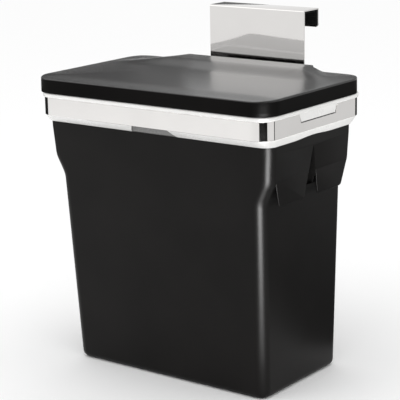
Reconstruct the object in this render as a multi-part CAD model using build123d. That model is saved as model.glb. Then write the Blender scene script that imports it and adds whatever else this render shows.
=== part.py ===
from build123d import *
import os

# A ten litre waste bin that hangs over a cabinet door.
# A lidded steel and plastic frame hangs from a folded steel hook, and a black bucket drops into it.
#
# Millimetres, +Z up, +X to the right of the front, front faces -Y.
# The origin is under the middle of the whole object, on the plane of the bucket's underside.
# Depths are given from the lid's front edge and turned into Y by back().

os.makedirs("parts", exist_ok=True)

# ---------------------------------------------------------------- driving dimensions
lid_width = 300.0
lid_depth = 181.2
hook_depth = 229.0            # lid front to the outside of the hook's lip
hook_top = 375.0
bucket_height = 284.0
rim_top = 298.3
pivot_depth = 181.0           # the lid's hinge axis
pivot_height = 308.0
sheet = 1.5                   # hook bracket steel
band_sheet = 0.7
fit = 0.05                    # radial clearance of pins and screws
gap = 0.3                     # clearance between curved faces of neighbours
touch = 0.1                   # clearance between flat faces of neighbours
bond = 0.02                   # thickness of the glue under the rubber pads
through = 1.0                 # how far a cutter runs past the face it opens

# ---------------------------------------------------------------- bucket
bucket_wall = 2.0
bucket_floor = 2.5
bucket_radius = 12.2
base_half_width = 124.3
side_taper = 0.0307           # widening of each side per millimetre of height
base_front = 29.6
front_taper = 0.0562
bucket_rear = 168.6
step_low = 208.0              # the side walls step out to a wider collar between these heights
step_high = 228.0
step_half_width = base_half_width + side_taper * step_low
collar_low_half_width = 140.8
collar_half_width = 143.3
collar_full_height = 262.0
base_round = 7.0
flange_front = 8.0
flange_rear = 176.0
flange_height = 2.0

# Lifting grips: the collar's side walls run on down past the step as two flaps with a V slot between.
grip_bottom = 204.0
grip_top = (29.0, 159.0)      # depth of the flaps' outer edges where they leave the collar
grip_foot = (37.0, 151.0)     # and at their lower edge
grip_corner = 3.0
grip_wall = 2.0
grip_lean = 1.4
slot_top = 256.0
slot_apex = (92.5, 93.9)      # depth of the slot's front and rear edges at its top
slot_foot = (81.5, 106.5)     # and at the flaps' lower edge
shoulder_top = 215.0          # the side step stays whole in the slot up to here

# ---------------------------------------------------------------- frame
band_half_width = 146.15
band_front = 3.35
band_rear = 184.5
band_radius = 19.2
band_bottom = 274.5
band_top = 293.5
lip_bottom = 267.0            # lower edge of the support ring's inward slope
ledge_height = bucket_height - flange_height
opening_half_width = 143.6
opening_front = 12.9
opening_rear = 170.0
opening_radius = 12.5
window_top = (61.3, 133.2)
window_foot = (65.5, 129.2)
window_bottom = 284.0
tab_clearance = 0.8
tab_recess = 0.15             # how far the finger tab lies behind the band's face
tab_root = 0.6
ring_wall = 1.35
notch_top_half_width = 22.3
notch_foot_half_width = 29.2
notch_top = 275.0
notch_depth = 10.6
notch_shift = 4.0
arch_rise = 1.5
arch_feet = (56.0, 124.0)
arch_top = (74.0, 108.0)

rim_half_width = 148.0
rim_front = 1.9
rim_rear = 185.5
rim_radius = 21.0
rim_round = 1.4
rim_lip_half_width = 140.6
rim_lip_front = 16.6
rim_lip_rear = 166.0
rim_lip_radius = 9.5
rim_lip_wall = 1.5
rim_lip_bottom = 277.0

# ---------------------------------------------------------------- hinge
bridge_half_width = 85.0
bridge_bottom = 262.0
bridge_top = 296.5
bridge_front = 177.0
bridge_seat = 283.3
relief_front = 176.5
relief_half_width = 85.5
relief_bottom = 283.0
relief_margin = 5.0
pin_radius = 2.0
knuckle_radius = 4.0
knuckle_foot = 3.0
knuckle_spans = [(-76.0, -66.0), (-6.0, 6.0), (66.0, 76.0)]
arm_spans = [(-64.5, -52.5), (52.5, 64.5)]
arm_radius = 4.4
bush_radius = 3.0
pin_half_length = 79.0
bridge_screw_places = [-45.0, -22.0, 22.0, 45.0]
bridge_screw_depth = 180.6
bridge_screw_tip = 272.0
bridge_screw_radius = 1.75
bridge_head_radius = 3.5
bridge_head_seat = 2.5        # how far the head's seat lies below the bridge's top
bridge_head_drop = 0.2
clip_span = (76.6, 77.6)
clip_radius = 3.6
cross_recess = (4.5, 0.9, 1.4)

# ---------------------------------------------------------------- hook bracket
hook_half_width = 62.4
hook_front = 199.75
hook_bottom = 200.0
hook_lip_bottom = 354.0
bracket_screw_places = [(-45.0, 270.0), (45.0, 270.0), (-45.0, 288.0), (45.0, 288.0)]
bracket_screw_radius = 2.0
bracket_head_radius = 3.6
bracket_screw_tip = 187.0
socket_radius = 1.2
socket_depth = 0.8
hook_bend = 1.9
hook_corner = 4.0
nut_side = 7.0
nut_depth = (190.0, 193.0)
pad_thickness = 2.5
lip_pad_inset = 0.2
lip_pad_rise = 3.0
saddle_pad_inset = 2.0
saddle_pad_gap = 0.5
plate_pad_span = (6.0, 54.0)
plate_pad_heights = (336.0, 352.0)
lower_bumper_place = (46.0, 214.0)
lower_bumper_radius = 9.0
lower_bumper_round = 1.0

# ---------------------------------------------------------------- lid
lid_bottom = 298.8
lid_crease = 314.6
lid_radius = 23.4
lid_wall = 2.2
lid_edge_round = 1.3
hump_half_width = 84.0
hump_rear = 188.0
hump_top = 320.6
hump_wall_bottom = 300.5
hump_start = 105.0
hump_crest = 160.0
hump_crest_reach = 20.0
slot_side_gap = 1.0           # clearance beside each knuckle in the lid's rear wall
slot_rise = 4.5
rear_wall_cut = 5.0
boss_radius = 3.5
panel_bottom = 301.5
panel_thickness = 2.0
panel_rear = 175.0
bead_bottom = 293.0
bead_half_width = 136.0
bead_front = 21.0
bead_rear = 158.0
bead_radius = 10.0
bead_wall = 1.8
arm_front = 160.0
arm_bottom = 303.0
arm_top = 311.2
bush_overhang = 0.4
lid_screw_places = [(x, y) for x in (-110.0, 110.0) for y in (32.0, 92.0, 150.0)]
lid_screw_radius = 1.4
lid_screw_tip = 308.8
lid_head_radius = 2.8
lid_head_height = 1.6
lid_head_round = 0.6
lid_recess = (3.2, 0.7, 1.0)
bumper_places = [(-143.0, 48.0), (143.0, 48.0), (-70.0, 9.0), (70.0, 9.0)]
bumper_radius = 3.6
bumper_round = 0.9
bumper_stem_radius = 1.3
bumper_stem_rise = 0.4


def back(depth):
    """Y of a point that lies this far behind the lid's front edge."""
    return depth - hook_depth / 2


def outline(half_width, front, rear, radius, height):
    """Rounded rectangle, lying flat at this height."""
    place = Pos(0, back((front + rear) / 2), height)
    return place * RectangleRounded(2 * half_width, rear - front, radius)


def slab(half_width, front, rear, radius, bottom, top):
    """Straight prism on a rounded rectangle."""
    return extrude(outline(half_width, front, rear, radius, bottom), top - bottom)


def block(x_span, depth_span, height_span):
    """Plain box from its spans across, back and up."""
    size = [high - low for low, high in (x_span, depth_span, height_span)]
    middle = [(low + high) / 2 for low, high in (x_span, depth_span, height_span)]
    return Pos(middle[0], back(middle[1]), middle[2]) * Box(*size)


def side_prism(points, x_low, x_high):
    """Prism across the object, from an outline of (depth, height) points."""
    corners = [(x_low, back(depth), height) for depth, height in points]
    face = make_face(Polyline(*corners, close=True))
    return extrude(face, amount=x_high - x_low, dir=(1, 0, 0))


def rod_across(x_low, x_high, depth, height, radius):
    """Round bar along X."""
    place = Pos((x_low + x_high) / 2, back(depth), height) * Rot(0, 90, 0)
    return place * Cylinder(radius, x_high - x_low)


def rod_back(x, depth_low, depth_high, height, radius):
    """Round bar along Y."""
    place = Pos(x, back((depth_low + depth_high) / 2), height) * Rot(90, 0, 0)
    return place * Cylinder(radius, depth_high - depth_low)


def rod_up(x, depth, low, high, radius):
    """Round bar along Z."""
    return Pos(x, back(depth), (low + high) / 2) * Cylinder(radius, high - low)


def both_sides(solid):
    """A piece and its mirror image across the middle plane."""
    return [solid, mirror(solid, Plane.YZ)]


def save(name, solids):
    export_step(Compound(children=list(solids)), f"parts/{name}.step")


# ---------------------------------------------------------------- bucket

def bucket_sections(inset, low, high):
    """Outlines up the bucket: tapered body, side steps, then the collar."""
    def half_width(z):
        if z <= step_low:
            return base_half_width + side_taper * z
        if z >= collar_full_height:
            return collar_half_width
        if z <= step_high:
            share = (z - step_low) / (step_high - step_low)
            return step_half_width + share * (collar_low_half_width - step_half_width)
        share = (z - step_high) / (collar_full_height - step_high)
        return collar_low_half_width + share * (collar_half_width - collar_low_half_width)

    heights = [low, step_low, step_high, collar_full_height, high]
    return [
        outline(half_width(z) - inset, base_front - front_taper * z + inset, bucket_rear - inset,
                bucket_radius - inset, z)
        for z in heights
    ]


def slot_depths(height):
    """Depths of the V slot's front and rear edges at a height."""
    share = (height - grip_bottom) / (slot_top - grip_bottom)
    return [foot + share * (apex - foot) for foot, apex in zip(slot_foot, slot_apex)]


def slot_wedge(grow, side):
    """V slot between the flaps, as deep as the lower body's side wall."""
    front, rear = slot_depths(shoulder_top)
    points = [
        (front - grow, shoulder_top - grow), (rear + grow, shoulder_top - grow),
        (slot_apex[1] + grow, slot_top + grow), (slot_apex[0] - grow, slot_top + grow),
    ]
    inner = step_half_width - grow
    wedge = side_prism(points, inner, band_half_width)
    return wedge if side > 0 else mirror(wedge, Plane.YZ)


def flap(edge):
    """One hanging flap of the right grip, flush with the collar's wall; edge is 0 for front, 1 for rear."""
    outline_points = [
        (grip_top[edge], step_high), (grip_foot[edge], grip_bottom),
        (slot_depths(grip_bottom)[edge], grip_bottom), (slot_depths(step_high)[edge], step_high),
    ]
    blank = side_prism(outline_points, step_half_width, band_half_width)
    blank = fillet(blank.edges().filter_by(Axis.X).sort_by(Axis.Z)[:2], grip_corner)
    low = collar_low_half_width - grip_lean
    corners = [
        (low - grip_wall, grip_bottom), (low, grip_bottom), (collar_low_half_width, step_high),
        (collar_low_half_width - grip_wall, step_high),
    ]
    face = make_face(Polyline(*[(x, back(0), z) for x, z in corners], close=True))
    return blank & extrude(face, amount=hook_depth, dir=(0, 1, 0))


def moulding():
    """The whole bucket without its flaps: walls, floor, collar and rim flange."""
    outer = loft(bucket_sections(0, 0, bucket_height), ruled=True)
    outer = fillet(outer.edges().group_by(Axis.Z)[0], base_round)
    outer += slab(collar_half_width, flange_front, flange_rear, bucket_radius, ledge_height, bucket_height)
    hollow = loft(bucket_sections(bucket_wall, bucket_floor, bucket_height + through), ruled=True)
    for side in (-1, 1):
        hollow -= slot_wedge(bucket_wall, side)
    shell = outer - hollow
    for side in (-1, 1):
        shell -= slot_wedge(0, side)
    return shell


# The bucket is one moulding. It is kept as three nodes, body, collar and flaps, because the space behind
# the flaps is then open on both sides of every node.
whole_moulding = moulding()


def bucket_body():
    return [split(whole_moulding, Plane.XY.offset(step_low), keep=Keep.BOTTOM)]


def bucket_collar():
    return [split(whole_moulding, Plane.XY.offset(step_low), keep=Keep.TOP)]


def bucket_flaps():
    flaps = []
    for edge in (0, 1):
        for solid in both_sides(flap(edge)):
            flaps.append((solid - bucket_collar()[0]).solids().sort_by(SortBy.VOLUME)[-1])
    return flaps


# ---------------------------------------------------------------- frame

def window_prism(ease):
    """Finger window in both side walls, open at the top."""
    points = [
        (window_foot[0] + ease, window_bottom + ease), (window_foot[1] - ease, window_bottom + ease),
        (window_top[1] - ease, band_top + 2), (window_top[0] + ease, band_top + 2),
    ]
    return side_prism(points, opening_half_width + gap, rim_half_width)


def hinge_relief():
    """Space cut down at the rear so that the hinge bridge can reach over the frame."""
    x_span = (-relief_half_width, relief_half_width)
    return block(x_span, (relief_front, rim_rear + relief_margin), (relief_bottom, rim_top + relief_margin))


def support_ring():
    inset = band_sheet + touch
    half_width, front, rear = band_half_width - inset, band_front + inset, band_rear - inset
    radius = band_radius - inset
    low = outline(opening_half_width + gap, opening_front - gap, opening_rear + gap,
                  opening_radius, lip_bottom)
    high = outline(half_width, front, rear, radius, band_bottom)
    ring = loft([low, high], ruled=True)
    ring += slab(half_width, front, rear, radius, band_bottom, band_top)
    ring -= slab(opening_half_width, opening_front, opening_rear,
                 opening_radius, lip_bottom - through, band_top)
    ring -= slab(half_width - ring_wall, front + ring_wall, rear - ring_wall, radius - ring_wall,
                 ledge_height, band_top + through)
    ring -= hinge_relief()
    for side in both_sides(window_prism(0)):
        ring -= side
    below = lip_bottom - through
    arch = [
        (arch_feet[0], below), (arch_feet[0], lip_bottom), (arch_top[0], lip_bottom + arch_rise),
        (arch_top[1], lip_bottom + arch_rise), (arch_feet[1], lip_bottom), (arch_feet[1], below),
    ]
    ring -= side_prism(arch, -rim_half_width, rim_half_width)
    notch = [
        (notch_shift - notch_foot_half_width, below), (notch_shift + notch_foot_half_width, below),
        (notch_shift + notch_top_half_width, notch_top), (notch_shift - notch_top_half_width, notch_top),
    ]
    face = make_face(Polyline(*[(x, back(0), z) for x, z in notch], close=True))
    ring -= extrude(face, amount=notch_depth, dir=(0, 1, 0))
    for x in bridge_screw_places:
        ring -= rod_up(x, bridge_screw_depth, bridge_screw_tip - touch, ledge_height + through,
                       bridge_screw_radius + fit)
    return [ring]


def steel_band():
    band = slab(band_half_width, band_front, band_rear, band_radius, band_bottom + touch, band_top)
    band -= slab(band_half_width - band_sheet, band_front + band_sheet, band_rear - band_sheet,
                 band_radius - band_sheet, band_bottom, band_top + through)
    band -= hinge_relief()
    for side in both_sides(window_prism(0)):
        band -= side
    return [band]


def liner_rim():
    rim = slab(rim_half_width, rim_front, rim_rear, rim_radius, band_top + touch, rim_top)
    rim = fillet(rim.edges().group_by(Axis.Z)[-1], rim_round)
    rim += slab(rim_lip_half_width, rim_lip_front, rim_lip_rear, rim_lip_radius, rim_lip_bottom, rim_top)
    rim -= slab(rim_lip_half_width - rim_lip_wall, rim_lip_front + rim_lip_wall, rim_lip_rear - rim_lip_wall,
                rim_lip_radius - rim_lip_wall, rim_lip_bottom - through, rim_top + through)
    rim -= hinge_relief()
    tab = window_prism(tab_clearance) & block(
        (opening_half_width + tab_root, band_half_width - tab_recess), (0, hook_depth),
        (window_bottom, band_top + gap))
    for side in both_sides(tab):
        rim += side
    return [rim]


# ---------------------------------------------------------------- hinge

def hinge_bridge():
    span = (-bridge_half_width, bridge_half_width)
    rear = hook_front - fit
    bridge = block(span, (band_rear + touch, rear), (bridge_bottom, bridge_top))
    bridge += block(span, (bridge_front, rear), (bridge_seat, bridge_top))
    for x_span in knuckle_spans:
        bridge += block(x_span, (pivot_depth - knuckle_foot, pivot_depth + knuckle_foot),
                        (bridge_top - through, pivot_height))
        bridge += rod_across(*x_span, pivot_depth, pivot_height, knuckle_radius)
    bridge -= rod_across(-pin_half_length, pin_half_length, pivot_depth, pivot_height, pin_radius + fit)
    for x in bridge_screw_places:
        seat = bridge_top - bridge_head_seat
        bridge -= rod_up(x, bridge_screw_depth, bridge_seat - through, seat, bridge_screw_radius + fit)
        bridge -= rod_up(x, bridge_screw_depth, seat - touch, bridge_top + through, bridge_head_radius + fit)
    for x, z in bracket_screw_places:
        bridge -= rod_back(x, bracket_screw_tip - touch, hook_front + through, z, bracket_screw_radius + fit)
        bridge -= square_nut_blank(x, z, fit)
    return [bridge]


def square_nut_blank(x, z, ease):
    half = nut_side / 2 + ease
    depths = (nut_depth[0] - ease, nut_depth[1] + ease)
    return block((x - half, x + half), depths, (z - half, z + half))


def hinge_pin():
    pin = rod_across(-pin_half_length, pin_half_length, pivot_depth, pivot_height, pin_radius)
    return [chamfer(pin.edges().filter_by(GeomType.CIRCLE), 0.4)]


def pin_clips():
    clips = []
    for side in (-1, 1):
        low, high = sorted(side * x for x in clip_span)
        ring = rod_across(low, high, pivot_depth, pivot_height, clip_radius)
        hole = rod_across(low - through, high + through, pivot_depth, pivot_height, pin_radius + fit)
        clips.append(ring - hole)
    return clips


def bridge_screws():
    screws = []
    for x in bridge_screw_places:
        seat = bridge_top - bridge_head_seat
        head_top = bridge_top - bridge_head_drop
        screw = rod_up(x, bridge_screw_depth, bridge_screw_tip, seat, bridge_screw_radius)
        screw += rod_up(x, bridge_screw_depth, seat - fit, head_top, bridge_head_radius)
        length, width, depth = cross_recess
        place = Pos(x, back(bridge_screw_depth), head_top - depth / 2 + touch)
        screws.append(screw - place * Box(length, width, depth) - place * Box(width, length, depth))
    return screws


# ---------------------------------------------------------------- hook bracket

def hook_bracket():
    span = (-hook_half_width, hook_half_width)
    plate = block(span, (hook_front, hook_front + sheet), (hook_bottom, hook_top))
    plate += block(span, (hook_front, hook_depth), (hook_top - sheet, hook_top))
    plate += block(span, (hook_depth - sheet, hook_depth), (hook_lip_bottom, hook_top))
    bends = [e for e in plate.edges().filter_by(Axis.X) if e.center().Z > hook_top - 0.01]
    plate = fillet(bends, hook_bend)
    corners = [e for e in plate.edges().filter_by(Axis.Y)
               if e.center().Z < hook_lip_bottom + 0.01 and abs(e.center().X) > hook_half_width - 0.01]
    plate = fillet(corners, hook_corner)
    for x, z in bracket_screw_places:
        plate -= rod_back(x, hook_front - through, hook_front + sheet + through, z,
                          bracket_screw_radius + fit)
        plate -= countersink(x, z, fit)
    return [plate]


def countersink(x, z, ease):
    cone = Cone(bracket_screw_radius + ease, bracket_head_radius + ease, sheet)
    return Pos(x, back(hook_front + sheet / 2), z) * Rot(-90, 0, 0) * cone


def bracket_screws():
    screws = []
    for x, z in bracket_screw_places:
        rear = hook_front + sheet
        screw = rod_back(x, bracket_screw_tip, rear - touch, z, bracket_screw_radius) + countersink(x, z, 0)
        screw -= rod_back(x, rear - socket_depth, rear + through, z, socket_radius)
        screws.append(screw)
    return screws


def bracket_nuts():
    nuts = []
    for x, z in bracket_screw_places:
        hole = rod_back(x, bracket_screw_tip - through, hook_front, z, bracket_screw_radius + fit)
        nuts.append(square_nut_blank(x, z, 0) - hole)
    return nuts


def hook_lip_pad():
    face = hook_depth - sheet - bond
    half = hook_half_width - lip_pad_inset
    return [block((-half, half), (face - pad_thickness, face),
                  (hook_lip_bottom + lip_pad_rise, hook_top - sheet - touch))]


def hook_saddle_pad():
    top = hook_top - sheet - touch
    half = hook_half_width - saddle_pad_inset
    depths = (hook_front + sheet + saddle_pad_gap, hook_depth - sheet - pad_thickness - through)
    return [block((-half, half), depths, (top - pad_thickness, top))]


def plate_pads():
    face = hook_front + sheet + bond
    spans = [(-plate_pad_span[1], -plate_pad_span[0]), plate_pad_span]
    return [block(span, (face, face + pad_thickness), plate_pad_heights) for span in spans]


def lower_bumpers():
    face = hook_front + sheet + bond
    pads = []
    for x in (-lower_bumper_place[0], lower_bumper_place[0]):
        pad = rod_back(x, face, face + pad_thickness, lower_bumper_place[1], lower_bumper_radius)
        pads.append(fillet(pad.edges().group_by(Axis.Y)[-1], lower_bumper_round))
    return pads


# ---------------------------------------------------------------- lid

def hump_prism(top_drop, rear_inset, bottom, half_width):
    """Raised middle of the lid's rear edge, which covers the hinge."""
    points = [
        (hump_start + 3 * top_drop, bottom), (hump_start + 3 * top_drop, lid_crease - 1 - top_drop),
        (hump_crest, hump_top - top_drop), (hump_rear - rear_inset, hump_top - top_drop),
        (hump_rear - rear_inset, bottom),
    ]
    return side_prism(points, -half_width, half_width)


def lid_shell():
    shell = slab(lid_width / 2, 0, lid_depth, lid_radius, lid_bottom, lid_crease)
    shell = fillet(shell.edges().group_by(Axis.Z)[-1], lid_edge_round)
    hump = hump_prism(0, 0, hump_wall_bottom, hump_half_width)
    crest_front = back(hump_rear - hump_crest_reach)
    crest = [e for e in hump.edges().group_by(Axis.Z)[-1] if e.center().Y > crest_front]
    shell += fillet(crest, lid_edge_round)
    hollow = slab(lid_width / 2 - lid_wall, lid_wall, lid_depth - lid_wall, lid_radius - lid_wall,
                  lid_bottom - through, lid_crease - lid_wall)
    hollow += hump_prism(lid_wall, lid_wall, lid_bottom - through, hump_half_width - lid_wall)
    for x, depth in lid_screw_places:
        hollow -= rod_up(x, depth, panel_bottom + panel_thickness + touch, lid_crease, boss_radius)
    shell -= hollow
    for x_span in knuckle_spans:
        shell -= block((x_span[0] - slot_side_gap, x_span[1] + slot_side_gap),
                       (hump_rear - rear_wall_cut, hump_rear + through),
                       (lid_bottom - through, pivot_height + slot_rise))
    shell -= block((-hump_half_width, hump_half_width), (lid_depth - rear_wall_cut, hump_rear + through),
                   (lid_bottom - through, hump_wall_bottom))
    for x, depth in lid_screw_places:
        shell -= rod_up(x, depth, panel_bottom, lid_screw_tip + gap, lid_screw_radius + fit)
    return [shell]


def lid_inner_panel():
    inset = lid_wall + gap
    top = panel_bottom + panel_thickness
    panel = slab(lid_width / 2 - inset, inset, panel_rear, lid_radius - inset, panel_bottom, top)
    bead = slab(bead_half_width, bead_front, bead_rear, bead_radius, bead_bottom, panel_bottom)
    bead -= slab(bead_half_width - bead_wall, bead_front + bead_wall, bead_rear - bead_wall,
                 bead_radius - bead_wall, bead_bottom - through, panel_bottom)
    panel += bead
    for x_span in arm_spans:
        panel += block(x_span, (arm_front, pivot_depth), (arm_bottom, arm_top))
        panel += rod_across(*x_span, pivot_depth, pivot_height, arm_radius)
        panel -= rod_across(*x_span, pivot_depth, pivot_height, bush_radius + fit)
    for x, depth in lid_screw_places:
        panel -= rod_up(x, depth, panel_bottom - through, top + through, lid_screw_radius + fit)
    for x, depth in bumper_places:
        panel -= rod_up(x, depth, panel_bottom - through, top + through, bumper_stem_radius + fit)
    return [panel]


def hinge_bushes():
    bushes = []
    for low, high in arm_spans:
        bush = rod_across(low - bush_overhang, high + bush_overhang, pivot_depth, pivot_height, bush_radius)
        hole = rod_across(low - through, high + through, pivot_depth, pivot_height, pin_radius + fit)
        bushes.append(bush - hole)
    return bushes


def lid_screws():
    screws = []
    for x, depth in lid_screw_places:
        seat = panel_bottom - bond
        screw = rod_up(x, depth, seat, lid_screw_tip, lid_screw_radius)
        head = rod_up(x, depth, panel_bottom - lid_head_height, seat, lid_head_radius)
        screw += fillet(head.edges().group_by(Axis.Z)[0], lid_head_round)
        length, width, height = lid_recess
        place = Pos(x, back(depth), panel_bottom - lid_head_height + height / 2 - touch)
        screws.append(screw - place * Box(length, width, height) - place * Box(width, length, height))
    return screws


def lid_bumpers():
    bumpers = []
    for x, depth in bumper_places:
        foot = rod_up(x, depth, rim_top + gap, panel_bottom - bond, bumper_radius)
        foot = fillet(foot.edges().group_by(Axis.Z)[0], bumper_round)
        stem_top = panel_bottom + panel_thickness + bumper_stem_rise
        bumpers.append(foot + rod_up(x, depth, panel_bottom - touch, stem_top, bumper_stem_radius))
    return bumpers


pieces = [
    bucket_body, bucket_collar, bucket_flaps, support_ring, steel_band, liner_rim,
    hinge_bridge, hinge_pin, pin_clips, bridge_screws,
    hook_bracket, bracket_screws, bracket_nuts, hook_lip_pad, hook_saddle_pad, plate_pads, lower_bumpers,
    lid_shell, lid_inner_panel, hinge_bushes, lid_screws, lid_bumpers,
]
for piece in pieces:
    save(piece.__name__, piece())
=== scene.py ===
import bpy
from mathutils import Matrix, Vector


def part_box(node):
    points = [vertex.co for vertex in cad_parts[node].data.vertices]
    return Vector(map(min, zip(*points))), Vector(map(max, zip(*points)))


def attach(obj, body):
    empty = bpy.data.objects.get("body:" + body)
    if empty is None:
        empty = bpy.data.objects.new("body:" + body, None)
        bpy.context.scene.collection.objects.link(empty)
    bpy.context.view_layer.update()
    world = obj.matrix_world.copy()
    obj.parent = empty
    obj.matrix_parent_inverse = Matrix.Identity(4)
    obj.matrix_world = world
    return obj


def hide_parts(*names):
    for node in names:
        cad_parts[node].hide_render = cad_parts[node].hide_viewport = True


bl_info = {
    "name": "Over-door waste bin",
    "version": (1, 0, 0),
    "blender": (4, 5, 0),
    "location": "3D View > Sidebar > Waste bin",
    "description": "Builds the finished surfaces of a lidded waste bin that hangs on a cabinet door",
    "category": "Add Mesh",
}

import math

import bmesh
import bpy
from mathutils import Matrix, Vector

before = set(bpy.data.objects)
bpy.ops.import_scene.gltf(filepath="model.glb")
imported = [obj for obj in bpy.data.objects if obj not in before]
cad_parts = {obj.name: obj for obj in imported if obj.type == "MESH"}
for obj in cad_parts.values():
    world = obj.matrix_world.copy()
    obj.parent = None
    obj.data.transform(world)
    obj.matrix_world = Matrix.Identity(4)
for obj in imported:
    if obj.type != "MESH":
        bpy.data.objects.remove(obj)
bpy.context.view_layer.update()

mm = 0.001

# ------------------------------------------------------------------ sizes, all in metres
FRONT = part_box("lid_shell")[0].y                    # plane of the lid's front edge
LID_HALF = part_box("lid_shell")[1].x
LID_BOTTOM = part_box("lid_shell")[0].z
RIM_LOW, RIM_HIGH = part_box("liner_rim")
BAND_LOW, BAND_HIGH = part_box("steel_band")
RING_LOW, RING_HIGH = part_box("support_ring")
HOOK_LOW, HOOK_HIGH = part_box("hook_bracket")
BUCKET_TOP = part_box("bucket_collar")[1].z
STEP_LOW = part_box("bucket_collar")[0].z
PIN_LOW, PIN_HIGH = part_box("hinge_pin")
PIVOT = (PIN_LOW + PIN_HIGH) / 2

# The bucket's walls
BUCKET_WALL = 2.0 * mm
BUCKET_RADIUS = 12.2 * mm
BASE_HALF = 124.3 * mm
SIDE_TAPER = 0.0307
BASE_FRONT = 29.6 * mm
FRONT_TAPER = 0.0562
BUCKET_REAR = 168.6 * mm
BASE_ROUND = 7.0 * mm
COLLAR_HALF = 140.8 * mm
COLLAR_TOP_HALF = 143.3 * mm
STEP_HIGH = STEP_LOW + 20.0 * mm
COLLAR_FULL = STEP_LOW + 54.0 * mm
STEP_SOFTNESS = 0.22
STEP_BLEND = 8.0 * mm
FLANGE_FRONT = 8.0 * mm
FLANGE_REAR = 176.0 * mm
FLANGE_THICKNESS = 2.0 * mm
INSIDE_FLOOR = 2.5 * mm
INSIDE_ROUND = 5.0 * mm

# The lifting grips
FLAP_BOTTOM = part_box("bucket_flaps")[0].z
FLAP_TOP = (29.0 * mm, 159.0 * mm)
FLAP_FOOT = (37.0 * mm, 151.0 * mm)
FLAP_WALL = 2.0 * mm
FLAP_CORNER = 3.0 * mm
SLOT_APEX = (93.2 * mm, 256.0 * mm)
SLOT_APEX_HALF = 0.7 * mm
SLOT_FOOT = (81.5 * mm, 106.5 * mm)
SHOULDER_TOP = 215.0 * mm
THROUGH = 1.0 * mm                                  # how far a cutter runs past the face it opens

# The frame's ring, band and rim
RELIEF_HALF = 85.5 * mm
RELIEF_FRONT = 176.5 * mm
RELIEF_BOTTOM = 283.0 * mm
WINDOW_TOP = (61.3 * mm, 133.2 * mm)
WINDOW_FOOT = (65.5 * mm, 129.2 * mm)
WINDOW_BOTTOM = 284.0 * mm
WINDOW_MIDDLE = 97.0 * mm
WINDOW_REACH = 40.0 * mm
TAB_SPARE = 1.0 * mm
TAB_RECESS = 0.15 * mm
TAB_THICKNESS = 1.8 * mm
RING_RADIUS = 18.4 * mm
RING_WALL = 1.35 * mm
# Half width, front, rear and corner radius of the ring's foot and of the opening through it.
RING_FOOT = (143.9 * mm, 12.6 * mm, 170.3 * mm, 12.5 * mm)
RING_OPENING = (143.6 * mm, 12.9 * mm, 170.0 * mm, 12.5 * mm)
# How the ring's slope runs from its foot (0) to the band's lower edge (1): across, up.
RING_SLOPE = [(0.0, 0.0), (0.25, 0.18), (0.55, 0.46), (0.82, 0.78), (1.0, 1.0)]
ARCH_SPAN = (54.0 * mm, 126.0 * mm)
ARCH_RISE = 1.5 * mm
BAND_SHEET = 0.7 * mm
BAND_CURL = 0.25 * mm
BAND_RADIUS = 19.2 * mm
RIM_BEAD = 1.5 * mm
RIM_RADIUS = 20.0 * mm
RIM_LIP = (7.4 * mm, 8.9 * mm)
RIM_LIP_ROUND = 0.6 * mm
RIM_LIP_START = 6.0 * mm
NOTCH_SHIFT = 4.0 * mm
NOTCH_TOP_HALF = 22.3 * mm
NOTCH_FOOT_HALF = 29.2 * mm
NOTCH_TOP = 275.0 * mm
NOTCH_DEPTH = 10.6 * mm

# The lid
LID_DEPTH = 181.2 * mm
LID_RADIUS = 23.4 * mm
LID_WALL = 2.2 * mm
SKIRT_HEIGHT = 14.9 * mm
SKIRT_ROUND = 1.3 * mm
SIDE_LIFT = 1.3 * mm
SIDE_LIFT_DEPTH = 25.0 * mm
EDGE_SWELL = 40.0 * mm
HUMP_START = 82.0 * mm
HUMP_FLANK = 11.0 * mm
HUMP_SPREAD = 1.0
HUMP_REAR = 188.0 * mm
HUMP_BLEND = (112.0 * mm, 156.0 * mm)
REAR_STEP = (80.5 * mm, 87.5 * mm)
LID_SCREWS = [(x, depth) for x in (-110 * mm, 110 * mm) for depth in (32 * mm, 92 * mm, 150 * mm)]

KNUCKLE_SLOTS = ((-71 * mm, 6 * mm), (0.0, 7 * mm), (71 * mm, 6 * mm))     # middle and half width
KNUCKLE_SLOT_RISE = 4.5 * mm
REAR_WALL_CUT = 5.0 * mm
HUMP_EDGE_RISE = 1.7 * mm
BOSS_RADIUS = 3.5 * mm
BOSS_FOOT = 4.9 * mm
COAT_DROP = 0.7 * mm

# The hook
HOOK_SHEET = 1.5 * mm
HOOK_BEND = 1.6 * mm
HOOK_CORNER = 4.0 * mm
HOOK_LIP_BOTTOM = 354.0 * mm
HOOK_SCREWS = [(x * mm, height * mm) for x in (-45, 45) for height in (270, 288)]
BRIDGE_SCREWS = [(x * mm, 180.6 * mm) for x in (-45, -22, 22, 45)]
PLATE_PAD_INNER = 6.0 * mm
RIB_DEPTH = 0.35 * mm

SMOOTH_ANGLE = math.radians(32)


def back(depth):
    """Y of a point that lies this far behind the lid's front edge."""
    return FRONT + depth


def ease(value):
    """Smooth step from 0 to 1."""
    value = min(max(value, 0.0), 1.0)
    return value * value * (3 - 2 * value)


# ------------------------------------------------------------------ settings a user would change

def length_setting(name, description, default, smallest, largest):
    return bpy.props.FloatProperty(
        name=name, description=description, default=default, min=smallest, max=largest, unit="LENGTH")


def colour_setting(name, description, default):
    return bpy.props.FloatVectorProperty(
        name=name, description=description, default=default, size=3, min=0.0, max=1.0, subtype="COLOR")


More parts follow.
